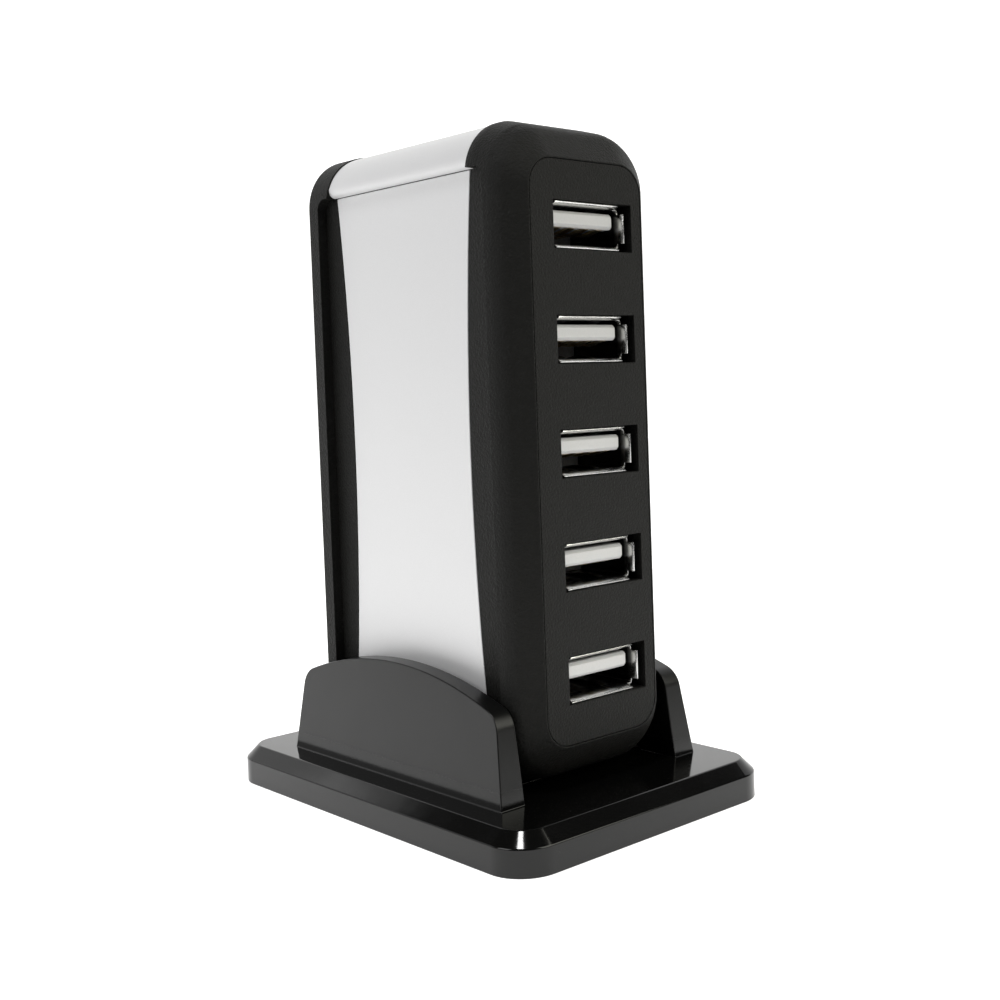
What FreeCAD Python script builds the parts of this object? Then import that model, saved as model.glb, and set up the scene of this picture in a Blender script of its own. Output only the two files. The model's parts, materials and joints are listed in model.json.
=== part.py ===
import FreeCAD, Part
import math
import os
import Sketcher
from FreeCAD import Rotation, Vector

# Powered USB hub: a slim upright tower that stands in a bevelled desk stand.
# Millimetres. X runs across the tower, Y runs from the port face (-Y) to the back, Z is up.
# The origin is the middle of the stand's underside.

SIZES = {
    # stand
    "base_width": 44.7,
    "base_length": 62.9,
    "base_height": 5.1,
    "base_bevel": 1.7,
    "base_corner": 5.2,
    "base_wall": 2.0,
    "base_rib": 1.6,
    "cheek_length": 45.0,
    "cheek_lean": 1.6,
    "cheek_shoulder": 10.9,
    "cheek_height": 14.9,
    "cheek_thickness": 3.8,
    "cheek_top_thickness": 2.4,
    "cheek_corner": 3.0,
    "cradle_gap": 0.15,
    "seat_height": 0.3,
    # tower outside
    "tower_width": 26.6,
    "tower_depth": 45.6,
    "tower_height": 83.2,
    "tower_corner": 7.4,
    "bezel_side": 3.5,
    "bezel_rise": 5.25,
    "front_bezel": 6.7,
    "rear_bezel": 3.4,
    "knee_side": 0.5,
    "knee_rise": 1.15,
    "knee_depth": 2.7,
    "plate_thickness": 0.3,
    "plate_margin": 0.15,
    "front_rim": 4.7,
    "rear_rim": 5.5,
    "rim_step": 1.45,
    "field_corner": 1.5,
    "strip_thickness": 1.3,
    "strip_nose": 1.0,
    "strip_length": 30.2,
    "strip_lap": 6.2,
    "panel_thickness": 0.8,
    "panel_length": 29.2,
    "panel_waist": 1.9,
    "panel_gap": 0.1,
    # tower inside
    "side_wall": 2.0,
    "face_wall": 2.0,
    "lip_thickness": 0.8,
    "lip_reach": 1.5,
    "lip_root": 2.5,
    "lip_gap": 0.1,
    "boss_diameter": 4.8,
    "boss_root": 0.5,
    "boss_clear": 0.3,
    # USB-A sockets
    "port_width": 13.6,
    "port_height": 6.05,
    "port_pitch": 14.09,
    "port_offset": 1.05,
    "socket_offset": 0.25,
    "shell_width": 13.1,
    "shell_height": 5.7,
    "shell_wall": 0.3,
    "shell_length": 13.5,
    "shell_recess": 0.35,
    "flare_length": 0.55,
    "flare_reach": 0.15,
    "flare_width": 10.9,
    "flare_tall": 3.75,
    "tongue_width": 11.1,
    "tongue_thickness": 2.0,
    "tongue_bevel": 0.35,
    "tongue_lift": 0.88,
    "tongue_recess": 0.8,
    "insulator_length": 4.0,
    "insulator_gap": 0.05,
    "contact_width": 1.1,
    "contact_thickness": 0.3,
    "contact_recess": 0.7,
    "contact_spacing": 2.4,
    "tail_width": 0.3,
    # board and what stands on it
    "board_thickness": 1.6,
    "board_length": 40.6,
    "board_height": 71.0,
    "screw_shank": 1.9,
    "screw_gap": 0.05,
    "screw_head": 3.6,
    "screw_head_height": 1.2,
    "screw_length": 3.3,
    "chip_size": 7.0,
    "chip_height": 1.4,
    "chip_draft": 0.15,
    "chip_row": 7.2,
    "crystal_length": 10.2,
    "crystal_width": 4.4,
    "crystal_height": 3.5,
    "crystal_bend": 2.1,
    "crystal_row": 16.2,
    "crystal_side": 0.8,
    "can_diameter": 6.0,
    "can_height": 7.0,
    "can_base": 6.6,
    "can_base_height": 0.9,
    "can_row": 27.5,
    # upstream socket
    "mini_width": 7.6,
    "mini_height": 3.9,
    "mini_wall": 0.3,
    "mini_taper": 0.8,
    "mini_foot": 1.3,
    "mini_shoulder": 2.1,
    "mini_length": 9.0,
    "mini_hole_gap": 0.35,
    "mini_tongue_width": 3.6,
    "mini_tongue_thickness": 0.8,
    "mini_tongue_recess": 1.5,
    "mini_block": 2.5,
    "mini_contact_width": 0.35,
    "mini_contact_thickness": 0.15,
    "mini_contact_spacing": 0.7,
    # power jack
    "jack_width": 9.0,
    "jack_length": 13.0,
    "jack_bore": 6.3,
    "jack_bore_depth": 10.0,
    "jack_hole": 7.4,
    "jack_pin": 2.0,
    "jack_pin_recess": 1.2,
    "jack_spring_width": 1.8,
    "jack_spring_thickness": 0.3,
    "jack_spring_length": 7.5,
}
FRONT_PORTS = 5
REAR_PORTS = 2
SIDES = {"left": -1, "right": 1}

doc = FreeCAD.newDocument("PoweredUsbHub")
sheet = doc.addObject("Spreadsheet::Sheet", "Sizes")
for row, (alias, size) in enumerate(SIZES.items(), start=1):
    sheet.set(f"A{row}", alias.replace("_", " "))
    sheet.set(f"B{row}", str(size))
    sheet.setAlias(f"B{row}", alias)
doc.recompute()

# Places worked out from the sizes
BASE_TOP = "Sizes.base_height"
CRADLE = "(Sizes.tower_width / 2 + Sizes.cradle_gap)"
TOWER_BOTTOM = "(Sizes.base_height + Sizes.seat_height)"
MIDDLE = f"({TOWER_BOTTOM} + Sizes.tower_height / 2)"
CORE_HALF = "(Sizes.tower_width / 2 - Sizes.rim_step)"
CORE_END = "(Sizes.strip_length / 2 + Sizes.panel_gap)"
BEZEL_START = "(Sizes.tower_depth / 2 - Sizes.front_bezel)"
FACE = "(Sizes.tower_depth / 2)"
FIELD_HALF = "(Sizes.tower_height / 2 - Sizes.strip_lap)"
CAVITY_WIDTH = f"(2 * ({CORE_HALF} - Sizes.side_wall))"
CAVITY_HEIGHT = "(Sizes.tower_height - 2 * Sizes.rim_step - 2 * Sizes.side_wall)"
CAVITY_CORNER = "(Sizes.tower_corner - Sizes.rim_step - Sizes.side_wall)"
BOARD_FACE = "(Sizes.socket_offset - Sizes.shell_width / 2)"
BOARD_BACK = f"({BOARD_FACE} - Sizes.board_thickness)"
BOSS_OFFSET = "(Sizes.lip_reach + Sizes.boss_clear + Sizes.boss_diameter / 2)"
BOSS_LENGTH = f"({BOARD_BACK} + {CAVITY_WIDTH} / 2 + Sizes.boss_root)"
SHELL_INSIDE_WIDTH = "(Sizes.shell_width - 2 * Sizes.shell_wall)"
SHELL_INSIDE_HEIGHT = "(Sizes.shell_height - 2 * Sizes.shell_wall)"
TONGUE_LENGTH = "(Sizes.shell_length - Sizes.tongue_recess - Sizes.insulator_length)"
SCREW_ROWS = (-1.5, 1.5)
CONTACT_STEPS = (-1.5, -0.5, 0.5, 1.5)
SAME_PLACE = 1e-4
LEAST_CUT = 1e-6

NODES = {}


def amount(expression):
    """The number that an expression of the sizes comes to."""
    return float(sheet.evalExpression(expression))


def bind(item, **expressions):
    for name, expression in expressions.items():
        item.setExpression(name, expression)


def place(item, x, y, z):
    for axis, expression in zip("xyz", (x, y, z)):
        item.setExpression(f"Placement.Base.{axis}", expression)


def keep(item, label):
    """Names a finished sub-part, which gets a file of its own."""
    item.Label = label
    NODES[label] = item
    return item


def row_height(steps):
    """Height of a socket row, counted in pitches up from the middle of the tower."""
    return f"({MIDDLE} + {steps} * Sizes.port_pitch)"


# Outlines, and what is padded or cut from them

def new_body(label):
    return keep(doc.addObject("PartDesign::Body", label), label)


def new_sketch(body, name, role, offset="0"):
    sketch = body.newObject("Sketcher::SketchObject", name)
    plane = next(item for item in body.Origin.OriginFeatures if item.Role == role)
    sketch.AttachmentSupport = [(plane, "")]
    sketch.MapMode = "FlatFace"
    sketch.setExpression("AttachmentOffset.Base.z", offset)
    return sketch


def fix(sketch, kind, where, expression):
    index = sketch.addConstraint(Sketcher.Constraint(kind, *where, amount(expression)))
    sketch.setExpression(f"Constraints[{index}]", expression)


def fix_point(sketch, curve, end, x, y):
    fix(sketch, "DistanceX", (-1, 1, curve, end), x)
    fix(sketch, "DistanceY", (-1, 1, curve, end), y)


def arc_between(start, end, radius):
    """Short arc from start to end, counter-clockwise."""
    chord = end - start
    reach = math.sqrt(radius ** 2 - chord.Length ** 2 / 4)
    left = Vector(-chord.y, chord.x, 0).normalize()
    centre = (start + end) / 2 + left * reach
    angles = [math.atan2(point.y - centre.y, point.x - centre.x) for point in (start, end)]
    return Part.ArcOfCircle(Part.Circle(centre, Vector(0, 0, 1), radius), *angles)


def draw_outline(sketch, corners):
    """Closed outline, counter-clockwise, of corners given as x and y.

    Where the side that starts at a corner is an arc, a radius and a bulge follow.
    A bulge of 1 swells out of the outline, and one of -1 hollows it.
    """
    first = sketch.GeometryCount
    points = [Vector(amount(corner[0]), amount(corner[1]), 0) for corner in corners]
    ends = []
    for index, corner in enumerate(corners):
        start = points[index]
        end = points[(index + 1) % len(points)]
        hollow = len(corner) == 4 and corner[3] < 0
        if len(corner) == 2:
            curve = Part.LineSegment(start, end)
        elif hollow:
            curve = arc_between(end, start, amount(corner[2]))
        else:
            curve = arc_between(start, end, amount(corner[2]))
        sketch.addGeometry(curve)
        ends.append((2, 1) if hollow else (1, 2))
    for index, corner in enumerate(corners):
        after = (index + 1) % len(corners)
        fix_point(sketch, first + index, ends[index][0], corner[0], corner[1])
        sketch.addConstraint(
            Sketcher.Constraint("Coincident", first + index, ends[index][1], first + after, ends[after][0])
        )
        if len(corner) == 4:
            fix(sketch, "Radius", (first + index,), corner[2])


def draw_rectangle(sketch, width, height, x="0", y="0"):
    left, right = (f"{x} {sign} ({width}) / 2" for sign in "-+")
    low, high = (f"{y} {sign} ({height}) / 2" for sign in "-+")
    draw_outline(sketch, [(left, low), (right, low), (right, high), (left, high)])


def draw_rounded(sketch, width, height, radius, x="0", y="0"):
    """Rectangle with round corners."""
    first = sketch.GeometryCount
    bend = amount(radius)
    signs = ((1, 1), (-1, 1), (-1, -1), (1, -1))
    centres = []
    for quarter, (across, up) in enumerate(signs):
        centre = (
            f"{x} + {across} * (({width}) / 2 - ({radius}))",
            f"{y} + {up} * (({height}) / 2 - ({radius}))",
        )
        circle = Part.Circle(Vector(amount(centre[0]), amount(centre[1]), 0), Vector(0, 0, 1), bend)
        sketch.addGeometry(Part.ArcOfCircle(circle, quarter * math.pi / 2, (quarter + 1) * math.pi / 2))
        centres.append(centre)
    for quarter in range(4):
        start = sketch.Geometry[first + quarter].EndPoint
        end = sketch.Geometry[first + (quarter + 1) % 4].StartPoint
        sketch.addGeometry(Part.LineSegment(start, end))
    for quarter, centre in enumerate(centres):
        arc = first + quarter
        side = first + 4 + quarter
        sketch.addConstraint(Sketcher.Constraint("Tangent", arc, 2, side, 1))
        sketch.addConstraint(Sketcher.Constraint("Tangent", side, 2, first + (quarter + 1) % 4, 1))
        fix_point(sketch, arc, 3, *centre)
        fix(sketch, "Radius", (arc,), radius)


def draw_circle(sketch, diameter, x, y):
    curve = sketch.addGeometry(
        Part.Circle(Vector(amount(x), amount(y), 0), Vector(0, 0, 1), amount(diameter) / 2)
    )
    fix_point(sketch, curve, 3, x, y)
    fix(sketch, "Diameter", (curve,), diameter)


def add_feature(body, kind, sketch, length=None, back=False, both=False):
    """Raises or cuts an outline: one way, the other way, both ways, or through all where it has no length."""
    feature = body.newObject(f"PartDesign::{kind}", f"{sketch.Name}_{kind.lower()}")
    feature.Profile = sketch
    feature.Reversed = back
    if both:
        feature.SideType = "Symmetric"
    if length is None:
        feature.Type = "ThroughAll"
    else:
        feature.setExpression("Length", length)
    doc.recompute()
    return feature


def pad(body, sketch, length, **options):
    return add_feature(body, "Pad", sketch, length, **options)


def pocket(body, sketch, length=None, **options):
    before = body.Shape.Volume
    feature = add_feature(body, "Pocket", sketch, length, **options)
    if feature.Shape.Volume > before - LEAST_CUT:
        raise RuntimeError(f"{feature.Name} cuts nothing")
    return feature


def edges_where(shape, test):
    """Names of the edges whose ends and middle all pass a test."""
    names = []
    for index, edge in enumerate(shape.Edges, start=1):
        middle = edge.valueAt((edge.FirstParameter + edge.LastParameter) / 2)
        points = [vertex.Point for vertex in edge.Vertexes] + [middle]
        if all(test(point) for point in points):
            names.append(f"Edge{index}")
    return names


def round_edges(body, base, name, test, radius):
    feature = body.newObject("PartDesign::Fillet", name)
    feature.Base = (base, edges_where(base.Shape, test))
    feature.setExpression("Radius", radius)
    doc.recompute()
    return feature


def near(first, second):
    return abs(first - second) < SAME_PLACE


# Stand

def build_stand():
    body = new_body("stand")
    outline = new_sketch(body, "base_outline", "XY_Plane")
    draw_rounded(outline, "Sizes.base_width", "Sizes.base_length", "Sizes.base_corner")
    plate = pad(body, outline, BASE_TOP)

    bevel = body.newObject("PartDesign::Chamfer", "base_bevel")
    top = amount(BASE_TOP)
    bevel.Base = (plate, edges_where(plate.Shape, lambda point: near(point.z, top)))
    bevel.setExpression("Size", "Sizes.base_bevel")
    doc.recompute()

    hollow = new_sketch(body, "base_hollow", "XY_Plane")
    inner_width = "(Sizes.base_width - 2 * Sizes.base_wall)"
    inner_length = "(Sizes.base_length - 2 * Sizes.base_wall)"
    inner_height = "(Sizes.base_height - Sizes.base_wall)"
    draw_rounded(hollow, inner_width, inner_length, "Sizes.base_corner - Sizes.base_wall")
    pocket(body, hollow, inner_height, back=True)

    spine = new_sketch(body, "base_spine", "XY_Plane")
    draw_rectangle(spine, "Sizes.base_rib", f"{inner_length} + Sizes.base_wall")
    pad(body, spine, inner_height)
    for name, share in (("front_rib", -1), ("rear_rib", 1)):
        rib = new_sketch(body, name, "XY_Plane")
        rib_place = f"{share} * {inner_length} / 6"
        draw_rectangle(rib, f"{inner_width} + Sizes.base_wall", "Sizes.base_rib", y=rib_place)
        pad(body, rib, inner_height)

    seat = new_sketch(body, "seat", "XY_Plane", BASE_TOP)
    draw_rectangle(seat, f"2 * {CRADLE}", f"2 * {BEZEL_START}")
    pad(body, seat, "Sizes.seat_height")

    section = new_sketch(body, "cheek_section", "XZ_Plane")
    peak = f"({BASE_TOP} + Sizes.cheek_height)"
    foot = f"({CRADLE} + Sizes.cheek_thickness)"
    crest = f"({CRADLE} + Sizes.cheek_top_thickness)"
    draw_outline(section, [(CRADLE, BASE_TOP), (foot, BASE_TOP), (crest, peak), (CRADLE, peak)])
    draw_outline(
        section,
        [(f"-{CRADLE}", BASE_TOP), (f"-{CRADLE}", peak), (f"-{crest}", peak), (f"-{foot}", BASE_TOP)],
    )
    pad(body, section, "Sizes.cheek_length", both=True)

    crown = new_sketch(body, "cheek_crown", "YZ_Plane")
    half = "(Sizes.cheek_length / 2)"
    half_top = f"({half} - Sizes.cheek_lean)"
    shoulder = f"({BASE_TOP} + Sizes.cheek_shoulder)"
    rise = "(Sizes.cheek_height - Sizes.cheek_shoulder)"
    crown_radius = f"({half_top} * {half_top} + {rise} * {rise}) / (2 * {rise})"
    beyond = "Sizes.cheek_length"
    above = f"({peak} + Sizes.cheek_height)"
    draw_outline(
        crown,
        [
            (f"-{beyond}", BASE_TOP),
            (f"-{half}", BASE_TOP),
            (f"-{half_top}", shoulder, crown_radius, -1),
            (half_top, shoulder),
            (half, BASE_TOP),
            (beyond, BASE_TOP),
            (beyond, above),
            (f"-{beyond}", above),
        ],
    )
    cut = pocket(body, crown, "2 * Sizes.base_width", both=True)

    corner_y = amount(half_top)
    corner_z = amount(shoulder)
    round_edges(
        body,
        cut,
        "cheek_corners",
        lambda point: near(abs(point.y), corner_y) and near(point.z, corner_z),
        "Sizes.cheek_corner",
    )


# Housing of the tower

def draw_panel(sketch, gap):
    """Waisted side panel: straight top and bottom, and two long sides that hollow towards mid-height."""
    half = f"(Sizes.panel_length / 2 - {gap})"
    tall = f"({FIELD_HALF} - {gap})"
    radius = f"({tall} * {tall} + Sizes.panel_waist * Sizes.panel_waist) / (2 * Sizes.panel_waist)"
    low = f"{MIDDLE} - {tall}"
    high = f"{MIDDLE} + {tall}"
    draw_outline(
        sketch,
        [(f"-{half}", low), (half, low, radius, -1), (half, high), (f"-{half}", high, radius, -1)],
    )


def plate_outline(inset):
    """Width, height and corner radius of the flat front face, less a margin all round."""
    return (
        f"Sizes.tower_width - 2 * (Sizes.bezel_side + {inset})",
        f"Sizes.tower_height - 2 * (Sizes.bezel_rise + {inset})",
        f"Sizes.tower_corner - Sizes.bezel_side - {inset}",
    )


def build_housing(label, front):
    """Half of the tower's black moulding, from the middle of its depth to the front or the rear face."""
    body = new_body(label)
    turn = "" if front else "-"
    end = "front" if front else "rear"

    def outline(name, depth, width, height, radius):
        sketch = new_sketch(body, f"{label}_{name}", "XZ_Plane", f"{turn}{depth}")
        draw_rounded(sketch, width, height, radius, y=MIDDLE)
        return sketch

    full = ("Sizes.tower_width", "Sizes.tower_height", "Sizes.tower_corner")
    core = outline(
        "core",
        "0",
        f"2 * {CORE_HALF}",
        "Sizes.tower_height - 2 * Sizes.rim_step",
        "Sizes.tower_corner - Sizes.rim_step",
    )
    pad(body, core, CORE_END, back=not front)
    rim = outline("rim", CORE_END, *full)
    bezel_start = f"({FACE} - Sizes.{end}_bezel)"
    pad(body, rim, f"{bezel_start} - {CORE_END}", back=not front)

    bezel = body.newObject("PartDesign::AdditiveLoft", f"{label}_bezel")
    bezel.Profile = outline("bezel_back", bezel_start, *full)
    bezel.Sections = [
        outline(
            f"bezel_{name}",
            depth,
            f"Sizes.tower_width - 2 * Sizes.{name}_side",
            f"Sizes.tower_height - 2 * Sizes.{name}_rise",
            f"Sizes.tower_corner - Sizes.{name}_side",
        )
        for name, depth in (("knee", f"({FACE} - Sizes.knee_depth)"), ("bezel", FACE))
    ]
    bezel.Ruled = True
    doc.recompute()

    for side, sign in SIDES.items():
        level = f"{sign} * {CORE_HALF}"
        field = new_sketch(body, f"{label}_{side}_field", "YZ_Plane", level)
        draw_rounded(
            field, f"2 * ({FACE} - Sizes.{end}_rim)", f"2 * {FIELD_HALF}", "Sizes.field_corner", y=MIDDLE
        )
        pocket(body, field, back=sign > 0)
        seat = new_sketch(body, f"{label}_{side}_seat", "YZ_Plane", level)
        draw_panel(seat, "0")
        pocket(body, seat, "Sizes.panel_thickness", back=sign < 0)

    cavity = outline("cavity", "0", CAVITY_WIDTH, CAVITY_HEIGHT, CAVITY_CORNER)
    pocket(body, cavity, f"{FACE} - Sizes.face_wall", back=front)
    if front:
        add_lip(body, label)
        seat = outline("plate_seat", FACE, *plate_outline("Sizes.plate_margin"))
        pocket(body, seat, "Sizes.plate_thickness")
    else:
        rebate = outline(
            "rebate",
            "0",
            f"{CAVITY_WIDTH} + 2 * Sizes.lip_gap",
            f"{CAVITY_HEIGHT} + 2 * Sizes.lip_gap",
            f"{CAVITY_CORNER} + Sizes.lip_gap",
        )
        pocket(body, rebate, "Sizes.lip_reach + Sizes.lip_gap")
    add_bosses(body, label, front)
    if front:
        reach = "(Sizes.port_offset - Sizes.socket_offset)"
        cut_ports(body, label, front, f"Sizes.port_width + {reach}", f"Sizes.socket_offset + {reach} / 2")
    else:
        cut_ports(body, label, front, "Sizes.port_width", "Sizes.socket_offset")
        cut_rear_holes(body, label)


def add_lip(body, label):
    """Ring inside the front half that slips into the rear half and keeps the two in line."""
    ring = new_sketch(body, f"{label}_lip", "XZ_Plane", "-Sizes.lip_reach")
    draw_rounded(ring, CAVITY_WIDTH, CAVITY_HEIGHT, CAVITY_CORNER, y=MIDDLE)
    draw_rounded(
        ring,
        f"{CAVITY_WIDTH} - 2 * Sizes.lip_thickness",
        f"{CAVITY_HEIGHT} - 2 * Sizes.lip_thickness",
        f"{CAVITY_CORNER} - Sizes.lip_thickness",
        y=MIDDLE,
    )
    pad(body, ring, "Sizes.lip_reach + Sizes.lip_root")


def add_bosses(body, label, front):
    """Posts on the left wall that the board lies on; those of the front half take its screws."""
    posts = new_sketch(body, f"{label}_bosses", "YZ_Plane", BOARD_BACK)
    depth = f"-{BOSS_OFFSET}" if front else BOSS_OFFSET
    for steps in SCREW_ROWS:
        draw_circle(posts, "Sizes.boss_diameter", depth, row_height(steps))
    pad(body, posts, BOSS_LENGTH, back=True)
    if front:
        holes = new_sketch(body, f"{label}_screw_holes", "YZ_Plane", BOARD_BACK)
        for steps in SCREW_ROWS:
            draw_circle(holes, "Sizes.screw_shank + 2 * Sizes.screw_gap", depth, row_height(steps))
        pocket(body, holes, f"{BOSS_LENGTH} - Sizes.boss_root")


def cut_ports(body, label, front, width, middle):
    """Column of socket openings in the face, spaced by the pitch."""
    count = FRONT_PORTS if front else REAR_PORTS
    lowest = -2 if front else 1
    opening = new_sketch(body, f"{label}_port", "XZ_Plane", FACE if front else f"-{FACE}")
    draw_rectangle(opening, width, "Sizes.port_height", x=middle, y=row_height(lowest))
    first = pocket(body, opening, "2 * Sizes.face_wall", back=not front)
    column = body.newObject("PartDesign::LinearPattern", f"{label}_ports")
    column.Originals = [first]
    column.Direction = (opening, ["V_Axis"])
    column.Mode = "Spacing"
    column.setExpression("Offset", "Sizes.port_pitch")
    column.Occurrences = count
    body.Tip = column
    doc.recompute()


def cut_rear_holes(body, label):
    """Openings for the upstream socket and the power jack."""
    upstream = new_sketch(body, f"{label}_upstream", "XZ_Plane", f"-{FACE}")
    draw_rectangle(
        upstream,
        "Sizes.mini_height + 2 * Sizes.mini_hole_gap",
        "Sizes.mini_width + 2 * Sizes.mini_hole_gap",
        x=f"({BOARD_FACE} + Sizes.mini_height / 2)",
        y=row_height(0),
    )
    pocket(body, upstream, "2 * Sizes.face_wall", back=True)
    power = new_sketch(body, f"{label}_power", "XZ_Plane", f"-{FACE}")
    draw_circle(power, "Sizes.jack_hole", "Sizes.socket_offset", row_height(-1))
    pocket(body, power, "2 * Sizes.face_wall", back=True)


def build_plate():
    """Thin plate let into the front face. Its openings are set off from the sockets, away from the board."""
    body = new_body("port_plate")
    sketch = new_sketch(body, "plate_outline", "XZ_Plane", f"{FACE} - Sizes.plate_thickness")
    draw_rounded(sketch, *plate_outline("(Sizes.plate_margin + Sizes.panel_gap)"), y=MIDDLE)
    pad(body, sketch, "Sizes.plate_thickness")
    cut_ports(body, "port_plate", True, "Sizes.port_width", "Sizes.port_offset")


def build_panels():
    for side, sign in SIDES.items():
        body = new_body(f"{side}_side_panel")
        sketch = new_sketch(body, f"{side}_panel_outline", "YZ_Plane", f"{sign} * {CORE_HALF}")
        draw_panel(sketch, "Sizes.panel_gap")
        pad(body, sketch, "Sizes.panel_thickness", back=sign > 0)


def build_strips():
    """Plates bent over the top and under the bottom of the core, nearly level with the rims at both ends."""
    for label, up in (("top_strip", 1), ("bottom_strip", -1)):
        body = new_body(label)
        outer = new_sketch(body, f"{label}_outer", "XZ_Plane")
        lift = "2 * (Sizes.rim_step - Sizes.strip_thickness)"
        draw_rounded(
            outer,
            f"Sizes.tower_width - {lift}",
            f"Sizes.tower_height - {lift}",
            "Sizes.tower_corner - Sizes.rim_step + Sizes.strip_thickness",
            y=MIDDLE,
        )
        pad(body, outer, "Sizes.strip_length", both=True)
        inner = new_sketch(body, f"{label}_inner", "XZ_Plane")
        draw_rounded(
            inner,
            f"2 * {CORE_HALF}",
            "Sizes.tower_height - 2 * Sizes.rim_step",
            "Sizes.tower_corner - Sizes.rim_step",
            y=MIDDLE,
        )
        pocket(body, inner, "2 * Sizes.strip_length", both=True)
        rest = new_sketch(body, f"{label}_rest", "XZ_Plane")
        draw_rectangle(
            rest, "2 * Sizes.tower_width", "Sizes.tower_height", y=f"{MIDDLE} + {up} * (-Sizes.strip_lap)"
        )
        cut = pocket(body, rest, "2 * Sizes.strip_length", both=True)
        brim = amount(f"{MIDDLE} + {up} * {FIELD_HALF}")
        plate_middle = amount(f"{CORE_HALF} + Sizes.strip_thickness / 2")
        round_edges(
            body,
            cut,
            f"{label}_nose",
            lambda point: near(point.z, brim) and abs(point.x) > plate_middle,
            "Sizes.strip_nose",
        )


# Blocks, rods and their unions

def block(name, corner, size):
    box = doc.addObject("Part::Box", name)
    bind(box, Length=size[0], Width=size[1], Height=size[2])
    place(box, *corner)
    return box


def rod(name, start, diameter, length, axis):
    """Cylinder that starts at a point and runs along X or Y."""
    item = doc.addObject("Part::Cylinder", name)
    turns = {"x": Rotation(Vector(0, 1, 0), 90), "y": Rotation(Vector(1, 0, 0), -90)}
    item.Placement.Rotation = turns[axis]
    bind(item, Radius=f"({diameter}) / 2", Height=length)
    place(item, *start)
    return item


def unite(name, *parts):
    item = doc.addObject("Part::MultiFuse", name)
    item.Shapes = list(parts)
    item.Refine = True
    return item


def subtract(name, base, tool):
    item = doc.addObject("Part::Cut", name)
    item.Base = base
    item.Tool = tool
    item.Refine = True
    return item


def gather(name, parts):
    item = doc.addObject("Part::Compound", name)
    item.Links = list(parts)
    return item


def inward(front, distance, length):
    """Lowest Y of something that starts a distance behind a face and runs inwards."""
    if front:
        return f"-{FACE} + {distance}"
    return f"{FACE} - ({distance}) - ({length})"


def flare(name, front, height, width, tall):
    """Frustum at the mouth of a socket shell, widest at the mouth."""
    item = doc.addObject("Part::Wedge", name)
    wide = (f"({width}) / 2 + Sizes.flare_reach", f"({tall}) / 2 + Sizes.flare_reach")
    slim = (f"({width}) / 2", f"({tall}) / 2")
    near_end, far_end = (wide, slim) if front else (slim, wide)
    bind(item, Ymin="0", Ymax="Sizes.flare_length")
    bind(item, Xmin=f"-({near_end[0]})", Xmax=near_end[0], Zmin=f"-({near_end[1]})", Zmax=near_end[1])
    bind(item, X2min=f"-({far_end[0]})", X2max=far_end[0], Z2min=f"-({far_end[1]})", Z2max=far_end[1])
    place(item, "Sizes.socket_offset", inward(front, "Sizes.shell_recess", "Sizes.flare_length"), height)
    return item


# USB-A sockets

def build_shell(label, front, height):
    """Folded steel tube whose mouth ends in four flared tabs."""
    start = inward(front, "Sizes.shell_recess", "Sizes.shell_length")

    def tube(name, width, tall, reach):
        corner = (f"Sizes.socket_offset - {width} / 2", start, f"{height} - {tall} / 2")
        return block(f"{label}_{name}", corner, (width, reach, tall))

    outer = unite(
        f"{label}_outside",
        tube("tube", "Sizes.shell_width", "Sizes.shell_height", "Sizes.shell_length"),
        flare(f"{label}_flare", front, height, "Sizes.shell_width", "Sizes.shell_height"),
    )
    cutters = [
        tube("bore", SHELL_INSIDE_WIDTH, SHELL_INSIDE_HEIGHT, "Sizes.shell_length"),
        flare(f"{label}_mouth", front, height, SHELL_INSIDE_WIDTH, SHELL_INSIDE_HEIGHT),
    ]
    notch_size = ("Sizes.shell_width", "Sizes.flare_length", "Sizes.shell_height")
    notch_start = inward(front, "Sizes.shell_recess", "Sizes.flare_length")
    for side, sign in SIDES.items():
        across = f"{sign} * (Sizes.flare_width + Sizes.shell_width) / 2"
        for end, up in (("top", 1), ("bottom", -1)):
            along = f"{up} * (Sizes.flare_tall + Sizes.shell_height) / 2"
            corner = (
                f"Sizes.socket_offset + {across} - Sizes.shell_width / 2",
                notch_start,
                f"{height} + {along} - Sizes.shell_height / 2",
            )
            cutters.append(block(f"{label}_notch_{side}_{end}", corner, notch_size))
    keep(subtract(label, outer, unite(f"{label}_inside", *cutters)), label)


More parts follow.
